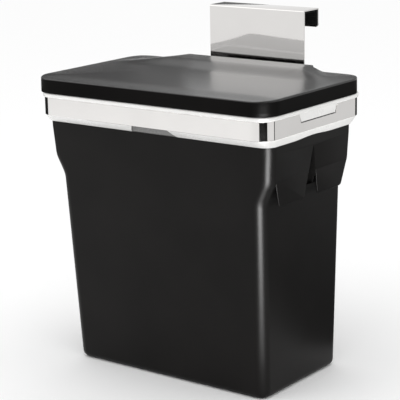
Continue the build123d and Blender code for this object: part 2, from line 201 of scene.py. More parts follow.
class BinSizes(bpy.types.PropertyGroup):
    lid_crown: length_setting(
        "Lid crown", "Rise of the lid's top from its edge to its middle", 2.0 * mm, 0.0, 6.0 * mm)
    hump_rise: length_setting(
        "Hump rise", "Height of the hinge hump above the lid's crown", 4.8 * mm, 0.0, 8.0 * mm)
    edge_round: length_setting(
        "Edge round", "Small round on moulded edges", 0.45 * mm, 0.1 * mm, 1.0 * mm)
    grain_depth: length_setting(
        "Grain depth", "Depth of the fine grain on the black plastic", 0.035 * mm, 0.0, 0.2 * mm)


class BinColours(bpy.types.PropertyGroup):
    body: colour_setting("Bucket", "Colour of the bucket's black plastic", (0.0052, 0.0046, 0.0043))
    lid: colour_setting("Lid", "Colour of the lid's black plastic", (0.0040, 0.0036, 0.0034))
    ring: colour_setting("Ring and rim", "Colour of the pale plastic ring and rim", (0.86, 0.855, 0.84))
    steel: colour_setting("Polished steel", "Colour of the band and the hook", (0.755, 0.74, 0.725))
    floor: colour_setting("Floor", "Colour of the studio floor", (0.97, 0.97, 0.97))


# ------------------------------------------------------------------ shader maths

class Socket:
    """One value in a shader, with arithmetic that adds Math nodes."""

    def __init__(self, shader, link):
        self.shader = shader
        self.link = link

    def math(self, operation, *values, first=None):
        inputs = {0: self if first is None else first}
        for place, value in enumerate(values):
            inputs[place + 1] = value
        return self.shader.node("ShaderNodeMath", {"operation": operation}, inputs)

    def __add__(self, other):
        return self.math("ADD", other)

    __radd__ = __add__

    def __sub__(self, other):
        return self.math("SUBTRACT", other)

    def __rsub__(self, other):
        return self.math("SUBTRACT", self, first=other)

    def __mul__(self, other):
        return self.math("MULTIPLY", other)

    __rmul__ = __mul__

    def smooth(self, low, high):
        """0 below low, 1 above high, with a smooth step between."""
        settings = {"interpolation_type": "SMOOTHSTEP"}
        inputs = {"Value": self, "From Min": low, "From Max": high}
        return self.shader.node("ShaderNodeMapRange", settings, inputs)


class Shader:
    """A material being built."""

    def __init__(self, name):
        self.material = bpy.data.materials.new(name)
        self.material.use_nodes = True
        self.tree = self.material.node_tree
        self.tree.nodes.clear()

    def node(self, kind, settings=None, inputs=None, output=0):
        """Any node, from its type, its settings and the values or links of its sockets."""
        made = self.tree.nodes.new(kind)
        for key, value in (settings or {}).items():
            setattr(made, key, value)
        for key, value in (inputs or {}).items():
            self.feed(made.inputs[key], value)
        return Socket(self, made.outputs[output])

    def feed(self, target, value):
        if isinstance(value, Socket):
            self.tree.links.new(value.link, target)
        elif hasattr(target.default_value, "__len__"):
            target.default_value = (*value, 1.0) if len(target.default_value) > len(value) else value
        else:
            target.default_value = value

    def place(self, scale=(1.0, 1.0, 1.0)):
        """Position on the object, stretched along each axis."""
        point = self.node("ShaderNodeTexCoord", output="Object")
        return self.node("ShaderNodeMapping", None, {"Vector": point, "Scale": scale})

    def axis(self, number):
        """X, Y or Z of the position on the object."""
        return self.node("ShaderNodeSeparateXYZ", None, {0: self.place()}, output=number)

    def noise(self, scale, detail, stretch=(1.0, 1.0, 1.0)):
        inputs = {"Vector": self.place(stretch), "Scale": scale, "Detail": detail}
        return self.node("ShaderNodeTexNoise", None, inputs)

    def mix(self, share, first, second):
        """Colour between two colours."""
        inputs = {"Factor": share, 6: first, 7: second}
        return self.node("ShaderNodeMix", {"data_type": "RGBA"}, inputs, output=2)

    def bump(self, height, distance, strength):
        inputs = {"Height": height, "Distance": distance, "Strength": strength}
        return self.node("ShaderNodeBump", None, inputs)

    def finish(self, **sockets):
        """The Principled shader, with its sockets given by name in lower case."""
        shader = self.tree.nodes.new("ShaderNodeBsdfPrincipled")
        for name, value in sockets.items():
            self.feed(shader.inputs[name.replace("_", " ").title().replace("Ior", "IOR")], value)
        return self.surface(shader.outputs[0])

    def glow(self, colour, strength=1.0):
        """A plain light source instead of a surface."""
        light = self.node("ShaderNodeEmission", None, {"Color": colour, "Strength": strength})
        return self.surface(light.link)

    def surface(self, link):
        output = self.tree.nodes.new("ShaderNodeOutputMaterial")
        self.tree.links.new(link, output.inputs["Surface"])
        return self.material


def tinted(colour, factor):
    return tuple(min(channel * factor, 1.0) for channel in colour)


def moulded_black(name, colour, roughness, grain, reflection, coat_from=None):
    """Satin black moulding: fine spark-eroded grain, faint flow marks and slightly uneven sheen.

    coat_from is the height above which the moulding is smoother and more reflective.
    """
    shader = Shader(name)
    fine = shader.noise(1500.0, 2.0)
    cloud = shader.noise(11.0, 4.0)
    flow = shader.noise(26.0, 3.0, stretch=(1.0, 1.0, 0.12))
    shade = shader.mix(cloud.smooth(0.3, 0.7), tinted(colour, 0.82), tinted(colour, 1.22))
    sheen = roughness + (cloud - 0.5) * 0.07 + (flow - 0.5) * 0.05 + (fine - 0.5) * 0.06
    sockets = {"base_color": shade, "roughness": sheen, "normal": shader.bump(fine, grain, 0.55)}
    if coat_from:
        sockets["coat_weight"] = shader.axis(2).smooth(coat_from - 0.4 * mm, coat_from + 0.4 * mm)
        sockets["coat_roughness"] = 0.27
    return shader.finish(specular_ior_level=reflection, **sockets)


def pale_plastic(name, colour, shade_masks):
    """Semi-gloss pale moulding with a very fine texture and soft sink marks, with painted shade (a darker
    copy of its colour) where each mask says.
    """
    shader = Shader(name)
    cloud = shader.noise(18.0, 3.0)
    fine = shader.noise(900.0, 2.0)
    sink = shader.noise(9.0, 1.0)
    shade = shader.mix(cloud.smooth(0.25, 0.75), tinted(colour, 0.96), tinted(colour, 1.02))
    # Each mask paints shade: the colour is mixed towards a darker copy where the mask is 1.
    for mask, tint in shade_masks:
        shade = shader.mix(mask(shader), shade, tinted(colour, tint))
    height = sink + fine * 0.06
    return shader.finish(
        base_color=shade, roughness=0.27 + (cloud - 0.5) * 0.10 + (fine - 0.5) * 0.05,
        normal=shader.bump(height, 0.10 * mm, 0.4), specular_ior_level=0.5)


def gap_shade_mask(shader):
    """Painted shade: 1 down inside the finger windows, behind the band's and the tabs' faces, where the gaps
    are shaded.
    """
    x, y, z = [shader.axis(number) for number in range(3)]
    inward = BAND_HIGH.x - 0.9 * mm - x.math("ABSOLUTE")
    off_middle = (y - back(WINDOW_MIDDLE)).math("ABSOLUTE")
    above = (z - WINDOW_BOTTOM + 0.3 * mm).smooth(0.0, 0.1 * mm)
    beside = (WINDOW_REACH - off_middle).smooth(0.0, 0.5 * mm)
    return inward.smooth(0.0, 0.4 * mm) * above * beside


def notch_shade_mask(shader):
    """Painted shade: 1 inside the notch under the ring's front, 0 elsewhere."""
    x, y, z = [shader.axis(number) for number in range(3)]
    rise = (z - RING_LOW.z) * (1 / (NOTCH_TOP - RING_LOW.z))
    half = rise * (NOTCH_TOP_HALF - NOTCH_FOOT_HALF) + NOTCH_FOOT_HALF
    off_middle = (x - NOTCH_SHIFT).math("ABSOLUTE")
    beside = (half - off_middle).smooth(-0.1 * mm, 0.1 * mm)
    below = (NOTCH_TOP - z).smooth(-0.1 * mm, 0.3 * mm)
    return beside * below * (0.0 - y).smooth(0.0, 0.01)


def polished_steel(name, colour):
    """Mirror-polished sheet with faint buffing lines and handling haze."""
    shader = Shader(name)
    haze = shader.noise(16.0, 4.0)
    buffing = shader.noise(420.0, 3.0, stretch=(0.05, 0.05, 1.0))
    wave = shader.noise(7.0, 1.0)
    shade = shader.mix(haze.smooth(0.3, 0.8), colour, tinted(colour, 0.95))
    sheen = 0.035 + haze.smooth(0.45, 0.85) * 0.05 + (buffing - 0.5) * 0.03
    return shader.finish(
        base_color=shade, metallic=1.0, roughness=sheen,
        normal=shader.bump(wave + buffing * 0.004, 0.12 * mm, 0.25))


def drawn_steel(name, colour, roughness):
    """Plain drawn or plated steel with fine turning lines and a mottled plating."""
    shader = Shader(name)
    lines = shader.noise(900.0, 3.0, stretch=(1.0, 1.0, 0.1))
    plating = shader.noise(160.0, 4.0)
    shade = shader.mix(plating.smooth(0.3, 0.7), tinted(colour, 0.82), tinted(colour, 1.1))
    return shader.finish(
        base_color=shade, metallic=1.0, roughness=roughness + (lines - 0.5) * 0.2 + (plating - 0.5) * 0.12,
        normal=shader.bump(lines, 0.02 * mm, 0.6))


def soft_rubber(name, colour):
    """Matt rubber with a fine bloom and a fine grainy bump."""
    shader = Shader(name)
    bloom = shader.noise(60.0, 5.0)
    fine = shader.noise(2200.0, 2.0)
    shade = shader.mix(bloom.smooth(0.35, 0.75), tinted(colour, 0.75), tinted(colour, 1.7))
    return shader.finish(
        base_color=shade, roughness=0.72 + (bloom - 0.5) * 0.16,
        normal=shader.bump(fine + bloom, 0.06 * mm, 0.7), specular_ior_level=0.12)


def plain_nylon(name, colour):
    """Natural nylon, slightly cloudy."""
    shader = Shader(name)
    cloud = shader.noise(240.0, 3.0)
    shade = shader.mix(cloud, tinted(colour, 0.9), tinted(colour, 1.05))
    return shader.finish(
        base_color=shade, roughness=0.42 + (cloud - 0.5) * 0.15, normal=shader.bump(cloud, 0.02 * mm, 0.5))


def paint(node, material):
    """Gives a carried-over CAD node its finish."""
    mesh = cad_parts[node].data
    mesh.materials.clear()
    mesh.materials.append(material)


# ------------------------------------------------------------------ mesh helpers

def rounded_loop(half_width, front, rear, radius, height, steps=10, spans=(1, 1)):
    """Rounded rectangle as a ring of points, anticlockwise from above, starting at the right front corner.

    Every ring with the same steps and spans has the same number of points; spans are across and back.
    """
    centres = [(half_width - radius, front + radius, -90), (half_width - radius, rear - radius, 0),
               (radius - half_width, rear - radius, 90), (radius - half_width, front + radius, 180)]
    points = []
    for number, (x, depth, start) in enumerate(centres):
        for step in range(steps + 1):
            angle = math.radians(start + 90 * step / steps)
            points.append((x + radius * math.cos(angle), depth + radius * math.sin(angle)))
        x_next, depth_next, _ = centres[(number + 1) % 4]
        angle = math.radians(start + 90)
        ahead = (x_next + radius * math.cos(angle), depth_next + radius * math.sin(angle))
        begin = points[-1]
        count = spans[0] if number % 2 else spans[1]
        for step in range(1, count):
            share = step / count
            points.append(tuple(old + share * (new - old) for old, new in zip(begin, ahead)))
    return [Vector((x, back(depth), height)) for x, depth in points]


def skin(loops, caps=True, close=False):
    """Closed surface through rings of points; close joins the last ring to the first."""
    mesh = bmesh.new()
    rows = [[mesh.verts.new(point) for point in loop] for loop in loops]
    pairs = list(zip(rows, rows[1:])) + ([(rows[-1], rows[0])] if close else [])
    for low, high in pairs:
        for place in range(len(low)):
            following = (place + 1) % len(low)
            mesh.faces.new((low[place], low[following], high[following], high[place]))
    if caps and not close:
        mesh.faces.new(list(reversed(rows[0])))
        mesh.faces.new(rows[-1])
    return mesh


def prism(outline, offset):
    """Solid between an outline of points and the same outline moved by an offset."""
    mesh = bmesh.new()
    near = [mesh.verts.new(point) for point in outline]
    far = [mesh.verts.new(Vector(point) + Vector(offset)) for point in outline]
    mesh.faces.new(near)
    mesh.faces.new(list(reversed(far)))
    for place in range(len(near)):
        following = (place + 1) % len(near)
        mesh.faces.new((near[following], near[place], far[place], far[following]))
    return mesh


def side_prism(points, low, high):
    """Solid across the bin, from an outline of (depth, height) points."""
    return prism([(low, back(depth), height) for depth, height in points], (high - low, 0, 0))


def to_object(mesh, name):
    """Object from a bmesh, with its doubles merged and its faces turned outwards."""
    bmesh.ops.remove_doubles(mesh, verts=mesh.verts, dist=0.002 * mm)
    bmesh.ops.recalc_face_normals(mesh, faces=mesh.faces)
    data = bpy.data.meshes.new(name)
    mesh.to_mesh(data)
    mesh.free()
    made = bpy.data.objects.new(name, data)
    bpy.context.scene.collection.objects.link(made)
    return made


def settle(piece):
    """Applies a piece's modifiers, so that only a plain mesh is left."""
    graph = bpy.context.evaluated_depsgraph_get()
    data = bpy.data.meshes.new_from_object(piece.evaluated_get(graph))
    piece.modifiers.clear()
    piece.data = data
    return piece


def combine(piece, others, operation):
    """Cuts away, adds or keeps what other solids cover, and removes those solids."""
    for other in others:
        modifier = piece.modifiers.new("combine", "BOOLEAN")
        modifier.operation = operation
        modifier.solver = "EXACT"
        modifier.object = other
    settle(piece)
    for other in others:
        bpy.data.objects.remove(other)
    return piece


def round_edges(piece, width, segments=2, angle=math.radians(40)):
    """Small round on every edge sharper than the angle."""
    modifier = piece.modifiers.new("round", "BEVEL")
    modifier.width = width
    modifier.segments = segments
    modifier.limit_method = "ANGLE"
    modifier.angle_limit = angle
    modifier.harden_normals = False
    return settle(piece)


def finish_piece(piece, body, material, nodes, angle=SMOOTH_ANGLE):
    """Shades a piece, gives it its material and sets what it rides on and stands for."""
    piece.data.materials.clear()
    piece.data.materials.append(material)
    for face in piece.data.polygons:
        face.material_index = 0
        face.use_smooth = True
    piece.data.set_sharp_from_angle(angle=angle)
    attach(piece, body)
    if nodes:
        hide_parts(*nodes)
    return piece


# ------------------------------------------------------------------ bucket

def bucket_half(height):
    """Half width of the bucket's outside at a height, with a soft S over the side step."""
    body = BASE_HALF + SIDE_TAPER * height
    collar = COLLAR_HALF + (COLLAR_TOP_HALF - COLLAR_HALF) * (height - STEP_HIGH) / (COLLAR_FULL - STEP_HIGH)
    share = soft_ramp((height - STEP_LOW) / (STEP_HIGH - STEP_LOW), STEP_SOFTNESS)
    return min(body + (collar - body) * share, COLLAR_TOP_HALF)


def soft_ramp(value, soft):
    """Straight ramp from 0 to 1 whose two ends bend in smoothly."""
    def lifted(x):
        if x <= -soft:
            return 0.0
        if x >= soft:
            return x
        return (x + soft) ** 2 / (4 * soft)
    return lifted(value) - lifted(value - 1)


def bucket_loop(height, inset=0.0, drawn_in=0.0):
    """Ring round the bucket, set in by a wall, and drawn in further where the base is rounded."""
    inward = inset + drawn_in
    return rounded_loop(bucket_half(height) - inward, BASE_FRONT - FRONT_TAPER * height + inward,
                        BUCKET_REAR - inward, BUCKET_RADIUS - inset * 0.8 - drawn_in, height)


def stations(*stretches):
    """Heights along stretches of (start, end, count), without repeats."""
    heights = []
    for start, end, count in stretches:
        for step in range(count):
            heights.append(start + (end - start) * step / count)
    heights.append(stretches[-1][1])
    return heights


def rounded_base(inset, floor, round_size, steps=7):
    """Rings that turn from the underside up into the walls."""
    loops = []
    for step in range(steps):
        angle = math.radians(90 * step / steps)
        drawn_in = round_size * (1 - math.sin(angle))
        loops.append(bucket_loop(floor + round_size * (1 - math.cos(angle)), inset, drawn_in))
    return loops


def slot_outline(foot, grow):
    """V slot from a foot height up to its narrow rounded apex, as (depth, height) points."""
    share = (foot - FLAP_BOTTOM) / (SLOT_APEX[1] - FLAP_BOTTOM)
    front = SLOT_FOOT[0] + (SLOT_APEX[0] - SLOT_APEX_HALF - SLOT_FOOT[0]) * share - grow
    rear = SLOT_FOOT[1] + (SLOT_APEX[0] + SLOT_APEX_HALF - SLOT_FOOT[1]) * share + grow
    reach = SLOT_APEX_HALF + grow
    return [(front, foot - grow), (rear, foot - grow), (SLOT_APEX[0] + reach, SLOT_APEX[1]),
            (SLOT_APEX[0], SLOT_APEX[1] + reach * 1.5), (SLOT_APEX[0] - reach, SLOT_APEX[1])]


def slot_wedge(side, grow):
    """Recess between the two flaps of one grip, above the lower body's shoulder."""
    inner = (bucket_half(STEP_LOW - 12 * mm) - grow) * side
    outer = inner + side * 20 * mm
    return to_object(side_prism(slot_outline(SHOULDER_TOP, grow), inner, outer), "slot_cutter")


def rounded_corner(before, corner, after, radius, steps=5):
    """Points of a soft curve that cuts off a corner."""
    start = corner + (before - corner).normalized() * radius
    end = corner + (after - corner).normalized() * radius
    points = []
    for step in range(steps + 1):
        share = step / steps
        points.append(start * (1 - share) ** 2 + corner * (2 * share * (1 - share)) + end * share ** 2)
    return points


def flap_solid(side, edge):
    """One hanging flap: tapered, with rounded lower corners, and flush with the collar's wall above it.

    edge picks the side of the slot it stands on, 0 for the front flap and 1 for the rear one.
    """
    lean = (COLLAR_TOP_HALF - COLLAR_HALF) / (COLLAR_FULL - STEP_HIGH)
    flush = STEP_HIGH + 5 * mm
    tuck = STEP_HIGH + 8 * mm
    spare = (edge - 0.5) * 0.1 * mm

    def slot_at(height):
        return Vector((slot_outline(height, 0.0)[edge][0] + spare, height))

    outer = Vector((FLAP_TOP[edge], STEP_HIGH))
    foot = Vector((FLAP_FOOT[edge], FLAP_BOTTOM))
    outline = [Vector((FLAP_TOP[edge], tuck)), Vector((FLAP_TOP[edge], flush)), outer]
    outline += rounded_corner(outer, foot, slot_at(FLAP_BOTTOM), FLAP_CORNER)
    outline += rounded_corner(foot, slot_at(FLAP_BOTTOM), slot_at(STEP_HIGH), FLAP_CORNER)
    outline += [slot_at(STEP_HIGH), slot_at(flush), slot_at(tuck)]
    near, far = [], []
    for depth, height in outline:
        face = COLLAR_HALF + lean * (height - STEP_HIGH) + 0.03 * mm
        face -= 0.2 * mm if height > flush else 0.0
        near.append(Vector((side * (face - FLAP_WALL), back(depth), height)))
        far.append(Vector((side * face, back(depth), height)))
    return to_object(skin([near, far]), "flap")


class BIN_OT_bucket(bpy.types.Operator):
    """Black bucket with its collar, rim flange and lifting grips"""
    bl_idname = "bin.bucket"
    bl_label = "Bucket"

    def execute(self, context):
        sizes = context.scene.bin_sizes
        colours = context.scene.bin_colours
        ledge = BUCKET_TOP - FLANGE_THICKNESS
        below, above = STEP_LOW - STEP_BLEND, STEP_HIGH + STEP_BLEND
        walls = stations((BASE_ROUND, below, 5), (below, above, 26), (above, ledge, 4))
        loops = rounded_base(0.0, 0.0, BASE_ROUND) + [bucket_loop(height) for height in walls]
        for height in (ledge, BUCKET_TOP):
            loops.append(rounded_loop(COLLAR_TOP_HALF, FLANGE_FRONT, FLANGE_REAR, BUCKET_RADIUS, height))
        bucket = to_object(skin(loops), "bucket")
        inside = stations((INSIDE_FLOOR + INSIDE_ROUND, below, 3), (below, above, 14),
                          (above, BUCKET_TOP + THROUGH, 2))
        hollow_loops = rounded_base(BUCKET_WALL, INSIDE_FLOOR, INSIDE_ROUND)
        hollow_loops += [bucket_loop(height, BUCKET_WALL) for height in inside]
        hollow = to_object(skin(hollow_loops), "hollow")
        combine(hollow, [slot_wedge(side, BUCKET_WALL) for side in (-1, 1)], "DIFFERENCE")
        combine(bucket, [hollow], "DIFFERENCE")
        combine(bucket, [slot_wedge(side, 0.0) for side in (-1, 1)], "DIFFERENCE")
        round_edges(bucket, sizes.edge_round)
        plastic = moulded_black("bucket_plastic", colours.body, 0.35, sizes.grain_depth, 0.11)
        finish_piece(bucket, "frame", plastic, ["bucket_body", "bucket_collar"])
        solids = [flap_solid(side, edge) for side in (-1, 1) for edge in (0, 1)]
        flaps = combine(solids[0], solids[1:], "UNION")
        flaps.name = "bucket_flaps"
        round_edges(flaps, sizes.edge_round * 1.6, segments=3)
        finish_piece(flaps, "frame", plastic, ["bucket_flaps"])
        return {"FINISHED"}


# ------------------------------------------------------------------ frame pieces

def window_outline(spare, top):
    """Outline of a finger window, drawn in by a spare, up to a height above the band."""
    foot = WINDOW_BOTTOM + spare
    return [(WINDOW_FOOT[0] + spare, foot), (WINDOW_FOOT[1] - spare, foot),
            (WINDOW_TOP[1] - spare, top), (WINDOW_TOP[0] + spare, top)]


def window_cutter(side):
    """Finger window through one side wall, open at the top."""
    start = side * (BAND_HIGH.x - 2.3 * mm)
    points = window_outline(0.0, BAND_HIGH.z + 2 * mm)
    return to_object(side_prism(points, start, start + side * 6 * mm), "window_cutter")


def relief_cutter():
    """Space at the rear where the hinge bridge reaches over the frame."""
    rear = RIM_HIGH.y - FRONT + 5 * mm
    top = RIM_HIGH.z + 5 * mm
    points = [(RELIEF_FRONT, RELIEF_BOTTOM), (rear, RELIEF_BOTTOM), (rear, top), (RELIEF_FRONT, top)]
    return to_object(side_prism(points, -RELIEF_HALF, RELIEF_HALF), "relief_cutter")


def frame_loop(half, front, rear, radius, height):
    """Finely rounded ring of points for a frame piece."""
    return rounded_loop(half, front, rear, radius, height, steps=24, spans=(4, 4))


def arc_profile(inset, height, radius, start, end, steps=5):
    """Points round part of a circle, as (inset, height); angles are from outwards, turning up."""
    points = []
    for step in range(steps + 1):
        angle = math.radians(start + (end - start) * step / steps)
        points.append((inset - radius * math.cos(angle), height + radius * math.sin(angle)))
    return points


class BIN_OT_support_ring(bpy.types.Operator):
    """Pale plastic ring inside the band, with its inward slope below and the notch at the front"""
    bl_idname = "bin.support_ring"
    bl_label = "Support ring"

    def execute(self, context):
        half, front, rear = RING_HIGH.x, RING_LOW.y - FRONT, RING_HIGH.y - FRONT
        wall = (half, front, rear, RING_RADIUS)
        seat = BAND_LOW.z - 0.1 * mm
        loops = []
        for across, up in RING_SLOPE:
            outline = [foot + (full - foot) * across for foot, full in zip(RING_FOOT, wall)]
            loops.append(frame_loop(*outline, RING_LOW.z + (seat - RING_LOW.z) * up))
        loops.append(frame_loop(*wall, RING_HIGH.z))
        ring = to_object(skin(loops), "support_ring")
        inner = (half - RING_WALL, front + RING_WALL, rear - RING_WALL, RING_RADIUS - RING_WALL)
        ledge = BUCKET_TOP - FLANGE_THICKNESS
        heights = (RING_LOW.z - THROUGH, ledge + THROUGH)
        opening = skin([frame_loop(*RING_OPENING, height) for height in heights])
        well = skin([frame_loop(*inner, height) for height in (ledge, RING_HIGH.z + THROUGH)])
        cutters = [to_object(opening, "opening_cutter"), to_object(well, "well_cutter"), relief_cutter()]
        cutters += [window_cutter(side) for side in (-1, 1)]
        cutters += [self.notch_cutter(), self.arch_cutter()]
        combine(ring, cutters, "DIFFERENCE")
        round_edges(ring, 0.3 * mm)
        # The notch and the window gaps get painted shade: a darker copy of the ring's colour.
        shade_masks = [(notch_shade_mask, 0.20), (gap_shade_mask, 0.05)]
        plastic = pale_plastic("ring_plastic", context.scene.bin_colours.ring, shade_masks)
        finish_piece(ring, "frame", plastic, ["support_ring"])
        return {"FINISHED"}

    def notch_cutter(self):
        foot = RING_LOW.z - THROUGH
        points = [(NOTCH_SHIFT - NOTCH_FOOT_HALF, foot), (NOTCH_SHIFT + NOTCH_FOOT_HALF, foot),
                  (NOTCH_SHIFT + NOTCH_TOP_HALF, NOTCH_TOP), (NOTCH_SHIFT - NOTCH_TOP_HALF, NOTCH_TOP)]
        outline = [(x, FRONT, height) for x, height in points]
        return to_object(prism(outline, (0, NOTCH_DEPTH, 0)), "notch_cutter")

    def arch_cutter(self):
        """Shallow arch in the lower edge over each grip."""
        start, end = ARCH_SPAN
        count = 16
        points = [(start, RING_LOW.z - THROUGH)]
        for step in range(count + 1):
            share = step / count
            lift = ARCH_RISE * math.sin(math.pi * share) ** 2
            points.append((start + (end - start) * share, RING_LOW.z + lift))
        points.append((end, RING_LOW.z - THROUGH))
        return to_object(side_prism(points, -LID_HALF, LID_HALF), "arch_cutter")


class BIN_OT_steel_band(bpy.types.Operator):
    """Polished strip wrapped round the ring, with a finger window in each side"""
    bl_idname = "bin.steel_band"
    bl_label = "Steel band"

    def execute(self, context):
        half, front, rear = BAND_HIGH.x, BAND_LOW.y - FRONT, BAND_HIGH.y - FRONT
        low, high = BAND_LOW.z, BAND_HIGH.z
        profile = [(BAND_CURL, low), (0.0, low + BAND_CURL), (0.0, high - BAND_CURL), (BAND_CURL, high),
                   (BAND_SHEET, high), (BAND_SHEET, low)]
        loops = [frame_loop(half - inset, front + inset, rear - inset, BAND_RADIUS - inset, height)
                 for inset, height in profile]
        band = to_object(skin(loops, close=True), "steel_band")
        combine(band, [relief_cutter()] + [window_cutter(side) for side in (-1, 1)], "DIFFERENCE")
        steel = polished_steel("band_steel", context.scene.bin_colours.steel)
        finish_piece(band, "frame", steel, ["steel_band"])
        return {"FINISHED"}


class BIN_OT_liner_rim(bpy.types.Operator):
    """Pale rim that traps the bag, with a finger tab in each window"""
    bl_idname = "bin.liner_rim"
    bl_label = "Liner rim"

    def execute(self, context):
        half, front, rear = RIM_HIGH.x, RIM_LOW.y - FRONT, RIM_HIGH.y - FRONT
        low, high = BAND_HIGH.z + 0.1 * mm, RIM_HIGH.z
        lip_out, lip_in = RIM_LIP
        profile = [(1.0 * mm, low)] + arc_profile(RIM_BEAD, high - RIM_BEAD, RIM_BEAD, 0, 90)
        profile += arc_profile(lip_in - RIM_LIP_ROUND, high - RIM_LIP_ROUND, RIM_LIP_ROUND, 90, 180)
        profile += [(lip_in, RIM_LOW.z), (lip_out, RIM_LOW.z), (lip_out, low)]
        loops = []
        for inset, height in profile:
            past = max(inset - RIM_LIP_START, 0)
            radius = max(RIM_RADIUS - inset * 1.3, 6 * mm)
            loops.append(frame_loop(half - inset, front + inset + past * 3.9, rear - inset - past * 6.9,
                                    radius, height))
        rim = to_object(skin(loops, close=True), "liner_rim")
        combine(rim, [relief_cutter()], "DIFFERENCE")
        combine(rim, [self.tab(side) for side in (-1, 1)], "UNION")
        round_edges(rim, 0.25 * mm)
        # Painted shade in the window gaps: a darker copy of the rim's colour.
        plastic = pale_plastic("rim_plastic", context.scene.bin_colours.ring, [(gap_shade_mask, 0.05)])
        finish_piece(rim, "frame", plastic, ["liner_rim"])
        return {"FINISHED"}

    def tab(self, side):
        """Finger tab that fills a window, a little smaller all round."""
        outer = BAND_HIGH.x - TAB_RECESS
        points = window_outline(TAB_SPARE, BAND_HIGH.z + 0.6 * mm)
        return to_object(side_prism(points, side * (outer - TAB_THICKNESS), side * outer), "tab")


# ------------------------------------------------------------------ lid

def lid_top(x, depth, sizes):
    """Rise of the lid's top above the front edge's, at a place on it."""
    edge = max(min(LID_HALF - abs(x), depth, lid_rear(x) - depth), 0.0)
    swell = 1 - math.exp(-edge / EDGE_SWELL)
    flank = HUMP_FLANK + HUMP_SPREAD * max(HUMP_REAR - depth, 0.0)
    across = 1 - ease((abs(x) - HUMP_START) / flank)
    along = ease((depth - HUMP_BLEND[0]) / (HUMP_BLEND[1] - HUMP_BLEND[0]))
    lift = SIDE_LIFT * ease(depth / SIDE_LIFT_DEPTH)
    return lift + sizes.lid_crown * swell + sizes.hump_rise * across * along


def lid_rear(x):
    """Depth of the lid's rear edge, which steps back at the hump."""
    share = ease((abs(x) - REAR_STEP[0]) / (REAR_STEP[1] - REAR_STEP[0]))
    return HUMP_REAR + (LID_DEPTH - HUMP_REAR) * share


def lid_loop(inset, height, spans):
    """Ring round the lid, drawn in by an inset."""
    rear = LID_DEPTH - inset
    loop = rounded_loop(LID_HALF - inset, inset, rear, LID_RADIUS - inset, height, steps=16, spans=spans)
    for point in loop:
        if point.y > back(rear) - 0.001 * mm:
            point.y = back(lid_rear(point.x) - inset)
    return loop


def skirt_stations():
    """Inset and height of the skirt's rings: a near-upright wall, then a small round at the crease."""
    stations = [(0.25 * mm, 0.0), (0.0, 0.35 * mm), (0.0, 4 * mm), (0.05 * mm, 9 * mm)]
    for inset, height in arc_profile(SKIRT_ROUND, SKIRT_HEIGHT - SKIRT_ROUND, SKIRT_ROUND, 0, 84, steps=6):
        stations.append((inset + 0.1 * mm, height))
    return stations


def lid_solid(sizes, wall, spans, ring_count):
    """Solid under the lid's top, drawn in by a wall all round; the wall also drops it below its top."""
    loops = [lid_loop(inset + wall, height, spans) for inset, height in skirt_stations()]
    rises = [lid_top(point.x, point.y - FRONT, sizes) for point in loops[-1]]
    for loop in loops:
        for point, rise in zip(loop, rises):
            share = point.z / SKIRT_HEIGHT
            point.z = LID_BOTTOM + point.z + (rise - wall) * ease(share)
    edge = loops[-1]
    middle = back(LID_DEPTH / 2)
    reach = LID_HALF - LID_DEPTH / 2
    for step in range(1, ring_count + 1):
        share = step / ring_count
        ring = []
        for point in edge:
            centre = Vector((min(max(point.x, -reach), reach), middle, 0))
            place = point.lerp(centre, share)
            place.z = LID_BOTTOM + SKIRT_HEIGHT - wall + lid_top(place.x, place.y - FRONT, sizes)
            ring.append(place)
        loops.append(ring)
    if wall:
        loops.insert(0, [Vector((point.x, point.y, LID_BOTTOM - 2 * wall)) for point in loops[0]])
    mesh = skin(loops, caps=False)
    bmesh.ops.remove_doubles(mesh, verts=mesh.verts, dist=0.02 * mm)
    foot = [edge for edge in mesh.edges if edge.is_boundary]
    bmesh.ops.contextual_create(mesh, geom=foot)
    return mesh


class BIN_OT_lid(bpy.types.Operator):
    """Crowned black lid with the raised hump over its hinge"""
    bl_idname = "bin.lid"
    bl_label = "Lid"

    def execute(self, context):
        sizes = context.scene.bin_sizes
        shell = to_object(lid_solid(sizes, 0.0, (168, 90), 56), "lid_shell")
        hollow = to_object(lid_solid(sizes, LID_WALL, (60, 34), 20), "lid_hollow")
        combine(shell, [hollow] + self.rear_cutters(), "DIFFERENCE")
        combine(shell, self.bosses(sizes), "UNION")
        round_edges(shell, 0.25 * mm, angle=math.radians(60))
        plastic = moulded_black("lid_plastic", context.scene.bin_colours.lid, 0.38, sizes.grain_depth * 0.8,
                                0.03, LID_BOTTOM + SKIRT_HEIGHT - COAT_DROP)
        finish_piece(shell, "lid", plastic, ["lid_shell"], angle=math.radians(45))
        return {"FINISHED"}

    def rear_cutters(self):
        """Slots in the rear wall for the fixed knuckles, and the raised lower edge of the hump."""
        cutters = []
        beyond = HUMP_REAR + THROUGH
        foot = LID_BOTTOM - THROUGH

        def slot(name, near, top, low, high):
            points = [(near, foot), (beyond, foot), (beyond, top), (near, top)]
            cutters.append(to_object(side_prism(points, low, high), name))

        for middle, half in KNUCKLE_SLOTS:
            slot("knuckle_slot", HUMP_REAR - REAR_WALL_CUT, PIVOT.z + KNUCKLE_SLOT_RISE,
                 middle - half, middle + half)
        slot("hump_edge", LID_DEPTH - REAR_WALL_CUT, LID_BOTTOM + HUMP_EDGE_RISE, -REAR_STEP[1], REAR_STEP[1])
        return cutters

    def bosses(self, sizes):
        """Screw bosses under the top."""
        foot = LID_BOTTOM + BOSS_FOOT
        made = []
        for x, depth in LID_SCREWS:
            top = LID_BOTTOM + SKIRT_HEIGHT + lid_top(x, depth, sizes) - 1 * mm
            rings = [turned_ring(x, depth, radius, height) for radius, height in
                     ((BOSS_RADIUS, foot), (BOSS_RADIUS, top - 3 * mm), (BOSS_RADIUS + 1.1 * mm, top))]
            made.append(to_object(skin(rings), "boss"))
        return made


